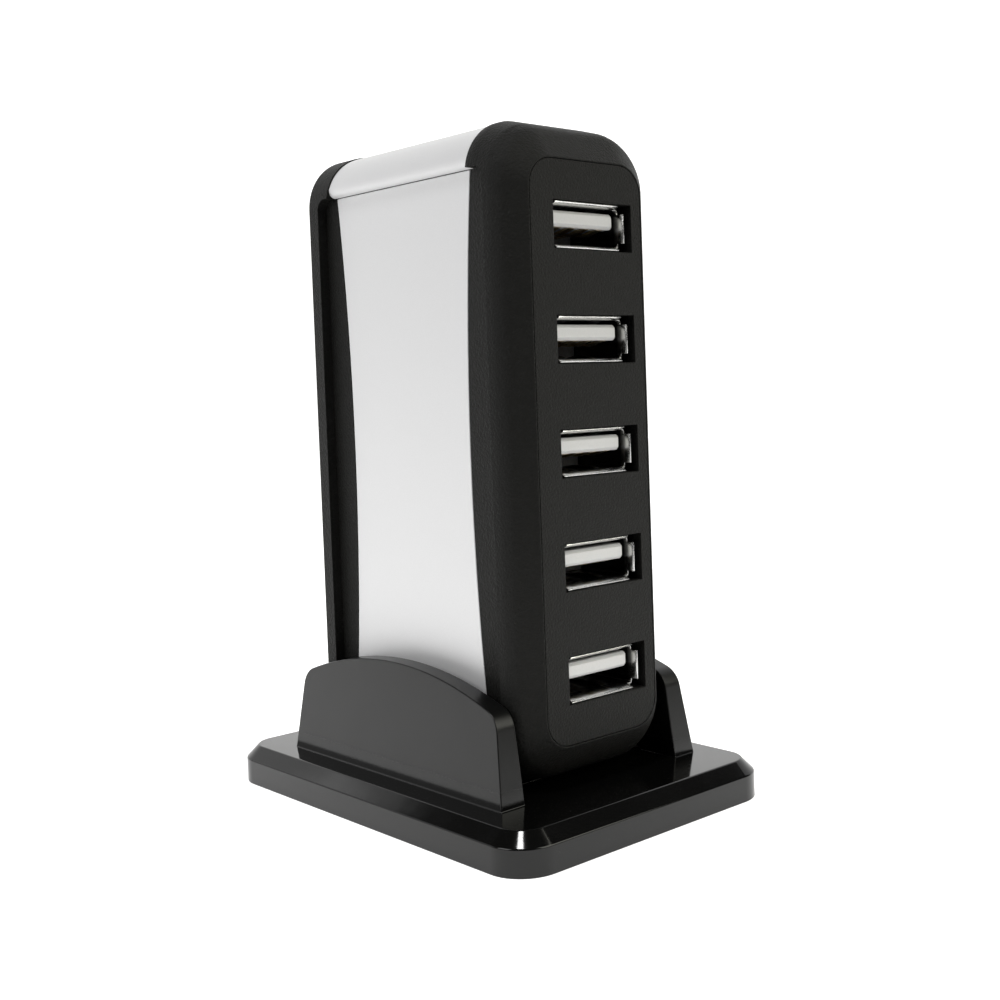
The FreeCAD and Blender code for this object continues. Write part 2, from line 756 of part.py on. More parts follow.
def build_insulator(label, front, height):
    """White block at the back of the shell, grooved for the contacts, and the tongue that carries them."""
    body = new_body(label)
    depth = f"({FACE} - Sizes.shell_recess - Sizes.shell_length + Sizes.insulator_length)"
    offset = depth if front else f"-{depth}"
    rear = new_sketch(body, f"{label}_block", "XZ_Plane", offset)
    draw_rectangle(
        rear,
        f"{SHELL_INSIDE_WIDTH} - 2 * Sizes.insulator_gap",
        f"{SHELL_INSIDE_HEIGHT} - 2 * Sizes.insulator_gap",
        x="Sizes.socket_offset",
        y=height,
    )
    pad(body, rear, "Sizes.insulator_length", back=front)

    tongue = new_sketch(body, f"{label}_tongue", "XZ_Plane", offset)
    side = "(Sizes.tongue_width / 2)"
    rise = "(Sizes.tongue_thickness / 2)"
    slim_side = f"({side} - Sizes.tongue_bevel)"
    slim_rise = f"({rise} - Sizes.tongue_bevel)"
    quarter = [(side, slim_rise), (slim_side, rise)]
    corners = quarter + [(f"-{x}", z) for x, z in quarter[::-1]]
    corners += [(f"-{x}", f"-{z}") for x, z in quarter]
    corners += [(x, f"-{z}") for x, z in quarter[::-1]]
    middle = f"{height} + Sizes.tongue_lift"
    draw_outline(tongue, [(f"Sizes.socket_offset + {x}", f"{middle} + {z}") for x, z in corners])
    pad(body, tongue, TONGUE_LENGTH, back=not front)

    grooves = new_sketch(body, f"{label}_grooves", "XZ_Plane", offset)
    deep = "(Sizes.contact_thickness + Sizes.insulator_gap)"
    for step in CONTACT_STEPS:
        draw_rectangle(
            grooves,
            "Sizes.contact_width + 2 * Sizes.insulator_gap",
            deep,
            x=f"Sizes.socket_offset + {step} * Sizes.contact_spacing",
            y=f"{middle} - {rise} - {deep} / 2",
        )
    pocket(body, grooves, "Sizes.insulator_length", back=not front)


def build_contacts(label, front, height):
    """Four strips under the tongue; behind the shell each turns aside to the board."""
    top = f"({height} + Sizes.tongue_lift - Sizes.tongue_thickness / 2)"
    low = f"{top} - Sizes.contact_thickness"
    begin = "(Sizes.shell_recess + Sizes.tongue_recess + Sizes.contact_recess)"
    behind = "(Sizes.shell_length - Sizes.tongue_recess - Sizes.contact_recess)"
    strips = []
    for index, step in enumerate(CONTACT_STEPS):
        x = f"(Sizes.socket_offset + {step} * Sizes.contact_spacing)"
        tail = f"({behind} + {2 * index + 1} * Sizes.tail_width)"
        length = f"({tail} + Sizes.tail_width)"
        strip = block(
            f"{label}_strip_{index + 1}",
            (f"{x} - Sizes.contact_width / 2", inward(front, begin, length), low),
            ("Sizes.contact_width", length, "Sizes.contact_thickness"),
        )
        foot = block(
            f"{label}_foot_{index + 1}",
            (BOARD_FACE, inward(front, f"({begin} + {tail})", "Sizes.tail_width"), low),
            (f"{x} - {BOARD_FACE}", "Sizes.tail_width", "Sizes.contact_thickness"),
        )
        strips.append(unite(f"{label}_contact_{index + 1}", strip, foot))
    keep(gather(label, strips), label)


def build_sockets():
    rows = [(f"port_{index + 1}", True, 2 - index) for index in range(FRONT_PORTS)]
    rows += [(f"rear_port_{index + 1}", False, 2 - index) for index in range(REAR_PORTS)]
    for label, front, steps in rows:
        height = row_height(steps)
        build_shell(f"{label}_shell", front, height)
        build_insulator(f"{label}_insulator", front, height)
        build_contacts(f"{label}_contacts", front, height)


# Upstream socket, lying on its side on the board

def draw_mini(sketch, inset):
    """Outline of the small socket: narrow foot on the board, wide head."""
    head = f"(Sizes.mini_width / 2 - {inset})"
    foot = f"({head} - Sizes.mini_taper)"
    centre = row_height(0)
    heights = [
        f"{BOARD_FACE} + {inset}",
        f"{BOARD_FACE} + Sizes.mini_foot",
        f"{BOARD_FACE} + Sizes.mini_shoulder",
        f"{BOARD_FACE} + Sizes.mini_height - {inset}",
    ]
    lower = [(x, f"{centre} - {half}") for x, half in zip(heights, (foot, foot, head, head))]
    upper = [(x, f"{centre} + {half}") for x, half in zip(heights, (foot, foot, head, head))]
    draw_outline(sketch, lower + upper[::-1])


def build_upstream():
    begin = f"({FACE} - Sizes.face_wall)"
    body = new_body("upstream_port_shell")
    outer = new_sketch(body, "upstream_outer", "XZ_Plane", f"-{begin}")
    draw_mini(outer, "0")
    pad(body, outer, "Sizes.mini_length")
    inner = new_sketch(body, "upstream_inner", "XZ_Plane", f"-{begin}")
    draw_mini(inner, "Sizes.mini_wall")
    pocket(body, inner, "2 * Sizes.mini_length", both=True)

    body = new_body("upstream_port_insulator")
    plug = new_sketch(body, "upstream_block", "XZ_Plane", f"-({begin} - Sizes.mini_length)")
    draw_mini(plug, "(Sizes.mini_wall + Sizes.insulator_gap)")
    pad(body, plug, "Sizes.mini_block", back=True)
    tongue = new_sketch(body, "upstream_tongue", "XZ_Plane", f"-({begin} - Sizes.mini_length)")
    centre_x = f"({BOARD_FACE} + Sizes.mini_height / 2)"
    draw_rectangle(
        tongue, "Sizes.mini_tongue_thickness", "Sizes.mini_tongue_width", x=centre_x, y=row_height(0)
    )
    pad(body, tongue, "Sizes.mini_length - Sizes.mini_tongue_recess", back=True)

    strips = []
    length = "(Sizes.mini_length - Sizes.mini_tongue_recess - Sizes.mini_block)"
    for index in range(5):
        corner = (
            f"{centre_x} + Sizes.mini_tongue_thickness / 2",
            f"{begin} - Sizes.mini_length + Sizes.mini_block",
            f"{row_height(0)} + {index - 2} * Sizes.mini_contact_spacing - Sizes.mini_contact_width / 2",
        )
        size = ("Sizes.mini_contact_thickness", length, "Sizes.mini_contact_width")
        strips.append(block(f"upstream_contact_{index + 1}", corner, size))
    keep(gather("upstream_port_contacts", strips), "upstream_port_contacts")


# Power jack

def build_jack():
    front = f"({FACE} - Sizes.face_wall)"
    height = row_height(-1)
    axis = "Sizes.socket_offset"
    corner = (BOARD_FACE, f"{front} - Sizes.jack_length", f"{height} - Sizes.jack_width / 2")
    width = f"({axis} + Sizes.jack_width / 2 - {BOARD_FACE})"
    case = block("power_jack_case", corner, (width, "Sizes.jack_length", "Sizes.jack_width"))
    floor = f"({front} - Sizes.jack_bore_depth)"
    bore = rod("power_jack_bore", (axis, floor, height), "Sizes.jack_bore", "Sizes.jack_bore_depth", "y")
    keep(subtract("power_jack_body", case, bore), "power_jack_body")
    reach = "Sizes.jack_bore_depth - Sizes.jack_pin_recess"
    keep(rod("power_jack_pin", (axis, floor, height), "Sizes.jack_pin", reach, "y"), "power_jack_pin")
    low = "sqrt(Sizes.jack_bore * Sizes.jack_bore - Sizes.jack_spring_width * Sizes.jack_spring_width) / 2"
    spring = block(
        "power_jack_spring",
        (f"{axis} - Sizes.jack_spring_width / 2", floor, f"{height} - ({low}) + Sizes.insulator_gap"),
        ("Sizes.jack_spring_width", "Sizes.jack_spring_length", "Sizes.jack_spring_thickness"),
    )
    keep(spring, "power_jack_spring")


# Board and what stands on it

def build_board():
    body = new_body("circuit_board")
    outline = new_sketch(body, "board_outline", "YZ_Plane", BOARD_FACE)
    draw_rectangle(outline, "Sizes.board_length", "Sizes.board_height", y=MIDDLE)
    pad(body, outline, "Sizes.board_thickness", back=True)
    holes = new_sketch(body, "board_holes", "YZ_Plane", BOARD_FACE)
    for steps in SCREW_ROWS:
        draw_circle(holes, "Sizes.screw_shank + 2 * Sizes.screw_gap", f"-{BOSS_OFFSET}", row_height(steps))
    pocket(body, holes)

    screws = []
    tip = f"{BOARD_FACE} - Sizes.screw_length"
    y = f"-{BOSS_OFFSET}"
    for number, steps in enumerate(SCREW_ROWS, start=1):
        z = row_height(steps)
        head_size = ("Sizes.screw_head", "Sizes.screw_head_height")
        head = rod(f"screw_head_{number}", (BOARD_FACE, y, z), *head_size, "x")
        shank = rod(f"screw_shank_{number}", (tip, y, z), "Sizes.screw_shank", "Sizes.screw_length", "x")
        screws.append(unite(f"screw_{number}", head, shank))
    keep(gather("board_screws", screws), "board_screws")


def build_chip(label, steps):
    """Flat package with drafted sides."""
    item = doc.addObject("Part::Wedge", label)
    half = "Sizes.chip_size / 2"
    slim = f"({half} - Sizes.chip_draft)"
    bind(item, Ymin="0", Ymax="Sizes.chip_height", Xmin=f"-{half}", Xmax=half, Zmin=f"-{half}", Zmax=half)
    bind(item, X2min=f"-{slim}", X2max=slim, Z2min=f"-{slim}", Z2max=slim)
    item.Placement.Rotation = Rotation(Vector(0, 0, 1), -90)
    place(item, BOARD_FACE, "0", f"{MIDDLE} + {steps} * Sizes.chip_row")
    keep(item, label)


def build_crystal(label, up):
    """Flat metal can with round ends."""
    body = new_body(label)
    outline = new_sketch(body, f"{label}_outline", "YZ_Plane", BOARD_FACE)
    draw_rounded(
        outline,
        "Sizes.crystal_width",
        "Sizes.crystal_length",
        "Sizes.crystal_bend",
        x="Sizes.crystal_side",
        y=f"{MIDDLE} + {up} * Sizes.crystal_row",
    )
    pad(body, outline, "Sizes.crystal_height")


def build_capacitor(label, step):
    """Upright can on a square base."""
    height = f"{MIDDLE} + {step} * Sizes.can_row"
    half = "Sizes.can_base / 2"
    base = block(
        f"{label}_base",
        (BOARD_FACE, f"-{half}", f"{height} - {half}"),
        ("Sizes.can_base_height", "Sizes.can_base", "Sizes.can_base"),
    )
    can = rod(
        f"{label}_can",
        (f"{BOARD_FACE} + Sizes.can_base_height", "0", height),
        "Sizes.can_diameter",
        "Sizes.can_height - Sizes.can_base_height",
        "x",
    )
    keep(unite(label, base, can), label)


def build_electronics():
    build_board()
    for number, up in ((1, 1), (2, -1)):
        build_chip(f"hub_controller_{number}", up)
        build_crystal(f"crystal_{number}", up)
    for number, step in ((1, 1), (2, 0), (3, -1)):
        build_capacitor(f"capacitor_{number}", step)


build_stand()
build_housing("front_housing", True)
build_housing("rear_housing", False)
build_plate()
build_panels()
build_strips()
build_sockets()
build_upstream()
build_jack()
build_electronics()
doc.recompute()

faults = [item.Name for item in doc.Objects if "Invalid" in item.State or "Error" in item.State]
faults += [label for label, item in NODES.items() if item.Shape.isNull() or not item.Shape.isValid()]
if faults:
    raise RuntimeError(f"failed objects: {faults}")

os.makedirs("parts", exist_ok=True)
for label, item in NODES.items():
    item.Shape.exportStep(f"parts/{label}.step")
print(f"{len(NODES)} sub-parts written")
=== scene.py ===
# %% [markdown]
# Powered USB hub on a desk stand.
# The hub is a slim upright tower with a column of USB sockets on its narrow front. It is lowered
# between the two cheeks of a bevelled base plate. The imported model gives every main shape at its
# real size, so this lesson adds what a camera sees close up: broken edges, pressed steel sockets
# and honest surfaces.

import json
import math

import bmesh
import bpy
from mathutils import Matrix, Vector


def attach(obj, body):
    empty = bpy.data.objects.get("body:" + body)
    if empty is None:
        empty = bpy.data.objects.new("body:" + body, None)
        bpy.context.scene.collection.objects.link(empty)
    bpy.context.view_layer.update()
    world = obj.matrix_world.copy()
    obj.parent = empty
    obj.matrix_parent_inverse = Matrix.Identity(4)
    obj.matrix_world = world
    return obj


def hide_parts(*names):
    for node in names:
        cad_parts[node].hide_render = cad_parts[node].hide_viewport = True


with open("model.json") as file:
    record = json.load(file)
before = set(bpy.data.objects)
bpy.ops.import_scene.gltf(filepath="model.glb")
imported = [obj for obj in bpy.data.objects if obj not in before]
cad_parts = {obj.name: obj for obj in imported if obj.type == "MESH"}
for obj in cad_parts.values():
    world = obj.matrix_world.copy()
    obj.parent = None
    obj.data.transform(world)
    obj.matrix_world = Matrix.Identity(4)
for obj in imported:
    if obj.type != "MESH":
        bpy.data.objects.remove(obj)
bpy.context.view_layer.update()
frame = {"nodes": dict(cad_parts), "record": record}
bpy.ops.object.select_all(action="DESELECT")
nodes = frame["nodes"]
MM = 0.001

# %% [markdown]
# The camera.
# A picture can be matched by eye, or by solving for the one viewpoint from which known edges of the
# object fall on the right pixels. The second way is used here: the column of sockets has a known
# pitch, so the place, the turn and the focal length all follow from it. The lens looks past the
# middle of the picture a little, which the two shifts take up.

# %% Camera
IMAGE = 1000
SENSOR = 36.0
FOCAL_PIXELS = 1333.27
MIDDLE_PIXEL = (545.99, 441.87)
EYE = Vector((-117.65, -141.80, 55.80)) * MM
AZIMUTH = math.radians(-42.579)
ELEVATION = math.radians(2.528)
ROLL = math.radians(-1.998)

back = Vector((
    math.sin(AZIMUTH) * math.cos(ELEVATION),
    -math.cos(AZIMUTH) * math.cos(ELEVATION),
    math.sin(ELEVATION),
))
level = Vector((math.cos(AZIMUTH), math.sin(AZIMUTH), 0))
upright = back.cross(level)
right = math.cos(ROLL) * level + math.sin(ROLL) * upright
up = math.cos(ROLL) * upright - math.sin(ROLL) * level

bpy.ops.object.camera_add()
camera = bpy.context.object
camera.name = "camera"
camera.matrix_world = Matrix.Translation(EYE) @ Matrix((right, up, back)).transposed().to_4x4()
camera.data.sensor_width = SENSOR
camera.data.lens = FOCAL_PIXELS * SENSOR / IMAGE
camera.data.shift_x = 0.5 - MIDDLE_PIXEL[0] / IMAGE
camera.data.shift_y = MIDDLE_PIXEL[1] / IMAGE - 0.5
camera.data.clip_start = 0.01
bpy.context.scene.camera = camera
bpy.context.scene.view_settings.view_transform = "Standard"
print("camera at", [round(v / MM, 1) for v in EYE], "mm, lens", round(camera.data.lens, 1))

# %% [markdown]
# The sweep.
# Small products are photographed on a white sweep: one sheet that is the floor and curves up
# behind. Black gloss shows only what it mirrors, so the sweep does half of the lighting. A plain
# plane would end in a hard horizon. So its far edge is extruded upwards, and the corner between
# floor and wall gets a wide bevel.

# %% Sweep
SWEEP = 1.4
SWEEP_WIDE = 3.0
SWEEP_BEND = 0.35
BEND_STEPS = 16


def pick(piece, test, kind="FACE"):
    """In edit mode, selects the faces, edges or corners whose middle passes the test."""
    bpy.ops.mesh.select_mode(type=kind)
    bpy.ops.mesh.select_all(action="DESELECT")
    mesh = bmesh.from_edit_mesh(piece.data)
    found = 0
    for part in {"FACE": mesh.faces, "EDGE": mesh.edges, "VERT": mesh.verts}[kind]:
        points = [part.co] if kind == "VERT" else [v.co for v in part.verts]
        if test(sum(points, Vector()) / len(points)):
            part.select_set(True)
            found += 1
    mesh.select_flush_mode()
    bmesh.update_edit_mesh(piece.data)
    return found


view_way = Vector((-back.x, -back.y, 0)).normalized()
bpy.ops.mesh.primitive_plane_add(size=2 * SWEEP)
sweep = bpy.context.object
sweep.name = "sweep"
bpy.ops.object.mode_set(mode="EDIT")
bpy.ops.transform.resize(value=(SWEEP_WIDE / SWEEP, 1, 1))
pick(sweep, lambda p: p.y > SWEEP / 2, "EDGE")
bpy.ops.mesh.extrude_region_move(TRANSFORM_OT_translate={"value": (0, 0, 2 * SWEEP)})
pick(sweep, lambda p: p.y > SWEEP / 2 and p.z < SWEEP_BEND, "EDGE")
bpy.ops.mesh.bevel(offset=SWEEP_BEND, segments=BEND_STEPS, affect="EDGES")
bpy.ops.object.mode_set(mode="OBJECT")
sweep.rotation_euler.z = math.atan2(view_way.y, view_way.x) - math.pi / 2
bpy.ops.object.transform_apply(location=True, rotation=True, scale=True)
bpy.ops.object.shade_smooth()
print("sweep has", len(sweep.data.polygons), "faces")

# %% [markdown]
# The lights.
# A lamp could be a point, but then gloss would show a dot. Soft boxes show as calm patches. One
# hangs on the left for the silver side, and a larger dim one stands behind it. The largest is on
# the right, where the front and the steel look, and a small one is overhead for the sparkle on the
# corners. The room round the camera stays dark, which is why the bevels that face the lens are the
# darkest.

# %% Lights
ROOM = 0.06


def soft_box(name, place, size, power, colour=(1, 1, 1), aim=(0, 0, 0.04)):
    """Square soft light that faces a point on the hub."""
    bpy.ops.object.light_add(type="AREA", location=place)
    light = bpy.context.object
    light.name = name
    light.data.size = size
    light.data.energy = power
    light.data.color = colour
    light.rotation_euler = (Vector(aim) - Vector(place)).to_track_quat("-Z", "Y").to_euler()


soft_box("left_box", (-0.80, 0.10, 0.50), 0.5, 2.7)
soft_box("back_box", (-0.75, 0.95, 0.35), 0.8, 1.5)
soft_box("right_box", (0.45, -0.96, 0.70), 0.9, 8.0, colour=(1.0, 0.99, 0.88))
soft_box("top_box", (-0.26, -0.16, 0.85), 0.15, 2.8)
world = bpy.data.worlds.new("studio")
bpy.context.scene.world = world
world.use_nodes = True
world.node_tree.nodes["Background"].inputs["Color"].default_value = (1, 1, 1, 1)
world.node_tree.nodes["Background"].inputs["Strength"].default_value = ROOM

# %% [markdown]
# Surfaces as sums.
# A finish is a small calculation: grain, smudges and colour drift are noises that are added and
# scaled. Node editors draw that as boxes and wires. Written as Python sums it is shorter and easier
# to read, so one class stands for a wire, and its plus and times signs add the boxes.

# %% Wires


class Wire:
    """Output of a shader node. Sums of wires and numbers add their own Math nodes."""

    def __init__(self, finish, socket):
        self.finish = finish
        self.socket = socket

    def maths(self, operation, first, second):
        return self.finish.node("ShaderNodeMath", {"operation": operation}, {0: first, 1: second})

    def __add__(self, other):
        return self.maths("ADD", self, other)

    def __radd__(self, other):
        return self.maths("ADD", other, self)

    def __mul__(self, other):
        return self.maths("MULTIPLY", self, other)

    def __rmul__(self, other):
        return self.maths("MULTIPLY", other, self)

    def __gt__(self, other):
        return self.maths("GREATER_THAN", self, other)

    def __abs__(self):
        return self.maths("ABSOLUTE", self, 0.0)

    def rise(self, low, high):
        """Zero below the first value, one above the second."""
        sockets = {"Value": self, "From Min": low, "From Max": high}
        return self.finish.node("ShaderNodeMapRange", {"clamp": True}, sockets, out="Result")


print("a wire can be added, multiplied, compared and made to rise")

# %% [markdown]
# One class for a finish.
# Every surface on the hub is one Principled shader with a few noises before it. A function per
# material would repeat the same calls, so the class keeps the shader and offers what all of them
# need: noise of a given grain, a colour between two colours, and bump of a given depth.

# %% Finishes
finishes = {}


class Finish:
    """Procedural material round one Principled shader."""

    def __init__(self, name, **constants):
        self.name = name
        self.material = bpy.data.materials.new(name)
        self.material.use_nodes = True
        self.tree = self.material.node_tree
        self.shader = self.tree.nodes["Principled BSDF"]
        for socket, value in constants.items():
            self.set(socket.replace("_", " ").title().replace("Ior", "IOR"), value)
        self.place = self.node("ShaderNodeTexCoord", out="Object")

    def link(self, socket, value):
        if isinstance(value, Wire):
            self.tree.links.new(value.socket, socket)
        else:
            socket.default_value = value

    def set(self, socket, value):
        """Feeds one socket of the shader with a number, a colour or a wire."""
        self.link(self.shader.inputs[socket], value)

    def node(self, kind, settings=None, sockets=None, out=0):
        """Any node: its settings are set first, then its sockets get values or wires."""
        item = self.tree.nodes.new(kind)
        for name, value in (settings or {}).items():
            setattr(item, name, value)
        for name, value in (sockets or {}).items():
            self.link(item.inputs[name], value)
        return Wire(self, item.outputs[out])

    def along(self, axis):
        """Distance from the middle of the part along X, Y or Z, in metres."""
        return self.node("ShaderNodeSeparateXYZ", sockets={"Vector": self.place}, out=axis)

    def noise(self, grain_mm, detail=2.0, stretch=None):
        """Noise whose blobs are about so many millimetres across, drawn out along an axis if asked."""
        vector = self.place
        if stretch:
            drawn_out = {"Vector": vector, "Scale": stretch}
            vector = self.node("ShaderNodeMapping", sockets=drawn_out, out="Vector")
        sockets = {"Vector": vector, "Scale": 1 / (grain_mm * MM), "Detail": detail, "Roughness": 0.6}
        return self.node("ShaderNodeTexNoise", sockets=sockets, out="Fac")

    def blend(self, share, first, second):
        """Colour between two colours."""
        colours = {"Factor": share, 6: (*first, 1), 7: (*second, 1)}
        return self.node("ShaderNodeMix", {"data_type": "RGBA"}, colours, out=2)

    def bump(self, height, depth_mm):
        sockets = {"Height": height, "Distance": depth_mm * MM, "Strength": 1.0}
        self.set("Normal", self.node("ShaderNodeBump", sockets=sockets, out="Normal"))

    def keep(self):
        """Files the finish under its own name."""
        finishes[self.name] = self.material
        print(self.name, "has", len(self.tree.nodes), "nodes")


print("finish helper ready")

# %% [markdown]
# Paper of the sweep.
# The paper has a painted glow: it emits light where the hub stands, and that light falls on the hub.
# A hand's breadth in front of the hub the painted glow fades, and the paper's colour turns dark, a
# painted shade for the dark of the room. The fade is a colour that changes along the floor, because
# a cut edge would show in the mirror of the base plate.

# %% Paper
FADE = (-0.13, -0.075)
paper = Finish("sweep_paper_painted_glow", roughness=0.9, emission_strength=0.8)
# Painted glow and painted shade: near the hub the paper is pale and emits light, in front of it the paper
# is dark.
painted_glow = (view_way.x * paper.along("X") + view_way.y * paper.along("Y")).rise(*FADE)
paper.set("Base Color", paper.blend(painted_glow, (0.05, 0.05, 0.05), (0.80, 0.80, 0.80)))
paper.set("Emission Color", paper.blend(painted_glow, (0.0, 0.0, 0.0), (1.0, 1.0, 1.0)))
sweep.data.materials.append(paper.material)
print("paper fades between", FADE, "m in front of the hub")

# %% [markdown]
# Black housing plastic.
# The tower is moulded in a steel tool that was spark-eroded to a fine matte texture. The grain is
# about a third of a millimetre, too small to model, so it is bump and roughness. A slow drift of
# colour keeps the large flat front from looking like paint.

# %% Housing plastic
housing = Finish("housing_plastic", specular_ior_level=0.19)
grain = housing.noise(0.3, detail=3)
drift = housing.noise(14, detail=3)
housing.set("Base Color", housing.blend(drift, (0.0045, 0.0045, 0.0038), (0.0075, 0.0075, 0.0065)))
housing.set("Roughness", 0.42 + 0.16 * grain + 0.06 * drift)
housing.bump(grain, 0.16)
housing.keep()

# %% [markdown]
# Polished black plastic.
# The base plate comes from a polished part of the tool, so it mirrors the tower. Only faint ripple,
# handling smudges and a few specks of dust keep it from being a perfect mirror. The cheeks, which
# are drawn out of deep slots of the tool, are less polished, so their shine is softer.

# %% Stand plastic
CHEEK_FOOT = (5.5 * MM, 7.5 * MM)
stand = Finish("stand_plastic", specular_ior_level=0.36)
smudge = stand.noise(9, detail=4)
dust = stand.noise(0.25, detail=1) > 0.8
stand.set("Base Color", stand.blend(dust * 0.25, (0.0020, 0.0020, 0.0019), (0.10, 0.098, 0.095)))
cheek = stand.along("Z").rise(*CHEEK_FOOT)
stand.set("Roughness", 0.07 + 0.1 * smudge * smudge + 0.2 * dust + 0.2 * cheek)
stand.bump(stand.noise(4.5, detail=1), 0.01)
stand.keep()

# %% [markdown]
# Silver panels.
# The side panels and the strips over the ends carry satin silver lacquer: metal flakes in a clear
# binder. The flakes lie almost flat, so the light spreads softly, with a sparkle far below a
# millimetre.

# %% Silver lacquer
silver = Finish("silver_plastic", metallic=0.2)
flake = silver.noise(0.09, detail=1)
cloud = silver.noise(18, detail=2)
silver.set("Base Color", silver.blend(flake, (0.69, 0.69, 0.695), (0.77, 0.77, 0.775)))
silver.set("Roughness", 0.36 + 0.1 * flake + 0.05 * cloud)
silver.bump(flake, 0.003)
silver.keep()

# %% [markdown]
# Steel of the sockets.
# Socket shells are stamped from plated strip, so their marks run along the drawing direction. The
# mouth keeps the bright plating, while deeper in the colour of the steel is painted nearly black: a
# painted shade for the inside of the socket. Both are one piece of sheet, so the change is made by
# depth in one finish, and not by a second material.

# %% Shell steel
PAINTED_SHADE_DEPTH = (20.9 * MM, 22.1 * MM)
steel = Finish("shell_steel", metallic=1.0)
streak = steel.noise(0.3, detail=3, stretch=(1, 0.08, 1))
# Painted shade: deeper in the socket the steel's colour turns nearly black, standing in for the shade
# inside it.
mouth_out_of_painted_shade = abs(steel.along("Y")).rise(*PAINTED_SHADE_DEPTH)
steel.set("Base Color", steel.blend(mouth_out_of_painted_shade * (0.8 + 0.2 * streak), (0.05, 0.05, 0.05), (0.82, 0.82, 0.81)))
steel.set("Roughness", 0.16 + 0.16 * streak)
steel.bump(streak, 0.002)
steel.keep()

# %% [markdown]
# White tongues and gold contacts.
# The tongues are glass-filled plastic, off-white and faintly speckled: one fine noise moves colour,
# gloss and height together, as the fibres do. Contacts are thinly gold flashed, and a plug rubs
# them lengthways, so their noise is drawn out along the socket.

# %% Tongues and contacts
white = Finish("insulator_plastic")
speck = white.noise(0.2, detail=2)
white.set("Base Color", white.blend(speck, (0.62, 0.62, 0.62), (0.71, 0.71, 0.71)))
white.set("Roughness", 0.38 + 0.12 * speck)
white.bump(speck, 0.003)
white.keep()

gold = Finish("contact_alloy", metallic=1.0)
rub = gold.noise(0.35, detail=3, stretch=(1, 0.15, 1))
gold.set("Base Color", gold.blend(rub, (0.52, 0.42, 0.26), (0.70, 0.60, 0.42)))
gold.set("Roughness", 0.2 + 0.2 * rub)
gold.keep()

# %% [markdown]
# The board.
# Nobody sees the board through the sockets, but the part can be opened in a drawing. So it has the
# surface that it has in life: tracks under green lacquer. Drawn tracks would need a circuit, so a
# noise that is drawn out and cut off at one level stands for them, slightly raised.

# %% Board laminate
board = Finish("board_laminate")
track = board.noise(1.6, detail=1, stretch=(1, 1, 0.25)) > 0.55
weave = board.noise(0.4, detail=2)
board.set("Base Color", board.blend(track * 0.7, (0.008, 0.075, 0.028), (0.020, 0.150, 0.060)))
board.set("Roughness", 0.3 + 0.2 * weave)
board.bump(track, 0.02)
board.keep()

# %% [markdown]
# Other inner pieces.
# Chips and the power jack are black plastics that differ in grain and gloss. Cans, crystals and
# screws are drawn or turned metal with marks across one axis. Each kind is one recipe with its own
# numbers, so a loop makes them all.

# %% Inner finishes
BLACKS = {
    "chip_epoxy": (0.12, (0.010, 0.010, 0.011), (0.022, 0.022, 0.024), 0.55, 0.15, 0.006),
    "jack_plastic": (0.2, (0.010, 0.010, 0.010), (0.020, 0.020, 0.020), 0.35, 0.2, 0.004),
}
for name, (size, dark, light, roughness, spread, depth) in BLACKS.items():
    black = Finish(name)
    filler = black.noise(size)
    black.set("Base Color", black.blend(filler, dark, light))
    black.set("Roughness", roughness + spread * filler)
    black.bump(filler, depth)
    black.keep()

METALS = {
    "crystal_steel": ((0.50, 0.50, 0.49), (0.66, 0.66, 0.65), 0.28),
    "capacitor_can": ((0.60, 0.60, 0.61), (0.78, 0.78, 0.80), 0.25),
    "screw_steel": ((0.40, 0.40, 0.40), (0.58, 0.58, 0.59), 0.32),
}
for name, (dark, light, roughness) in METALS.items():
    metal = Finish(name, metallic=1.0)
    turned = metal.noise(0.25, detail=3, stretch=(0.1, 1, 1))
    metal.set("Base Color", metal.blend(turned, dark, light))
    metal.set("Roughness", roughness + 0.15 * turned)
    metal.keep()

# %% [markdown]
# A finish for every node.
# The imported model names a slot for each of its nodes, such as shell_steel. Materials could be set
# piece by piece, but the record already holds the list, so one loop gives every node its surface,
# also those that get a finer copy later.

# %% Every node takes its finish
slot_of = {part["node"]: part["material_slot"] for part in frame["record"]["subparts"]}
for name, node in nodes.items():
    node.material_slots[0].material = finishes[slot_of[name]]
print("nodes with a finish:", len(slot_of))

# %% [markdown]
# Broken edges.
# No moulded edge is perfectly sharp, and the thin bright line along an edge is what makes a render
# look like a thing. A bevel in the shader would do for a picture, but not for the model. So each
# visible moulding is copied from its node, its loose triangles are merged, and its edges get a real
# bevel of a few tenths.

# %% Helpers for copies
TINY = 0.01 * MM
SAME = 0.001 * MM
SHARP = math.radians(28)
FLAT = math.radians(0.2)


def take(piece):
    """Makes a piece the only selected and the active one."""
    bpy.ops.object.select_all(action="DESELECT")
    piece.select_set(True)
    bpy.context.view_layer.objects.active = piece


def merged_copy(name, suffix):
    """Copy of a node, in edit mode, with its triangles merged to whole faces.

    The ribbed underside of the stand is one face with holes, so it stays in triangles.
    """
    piece = bpy.data.objects.new(f"{name}_{suffix}", nodes[name].data.copy())
    bpy.context.scene.collection.objects.link(piece)
    take(piece)
    bpy.ops.mesh.customdata_custom_splitnormals_clear()
    bpy.ops.object.mode_set(mode="EDIT")
    bpy.ops.mesh.select_all(action="SELECT")
    bpy.ops.mesh.remove_doubles(threshold=SAME)
    pick(piece, lambda p: p.z > TINY)
    bpy.ops.mesh.dissolve_limited(angle_limit=FLAT)
    return piece


def finish_piece(piece, name):
    """Gives a finished piece its surface and its body, and lets it stand for a node."""
    piece.data.materials.clear()
    piece.data.materials.append(finishes[slot_of[name]])
    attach(piece, "root")
    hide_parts(name)


print("points within", SAME / MM, "mm are merged")

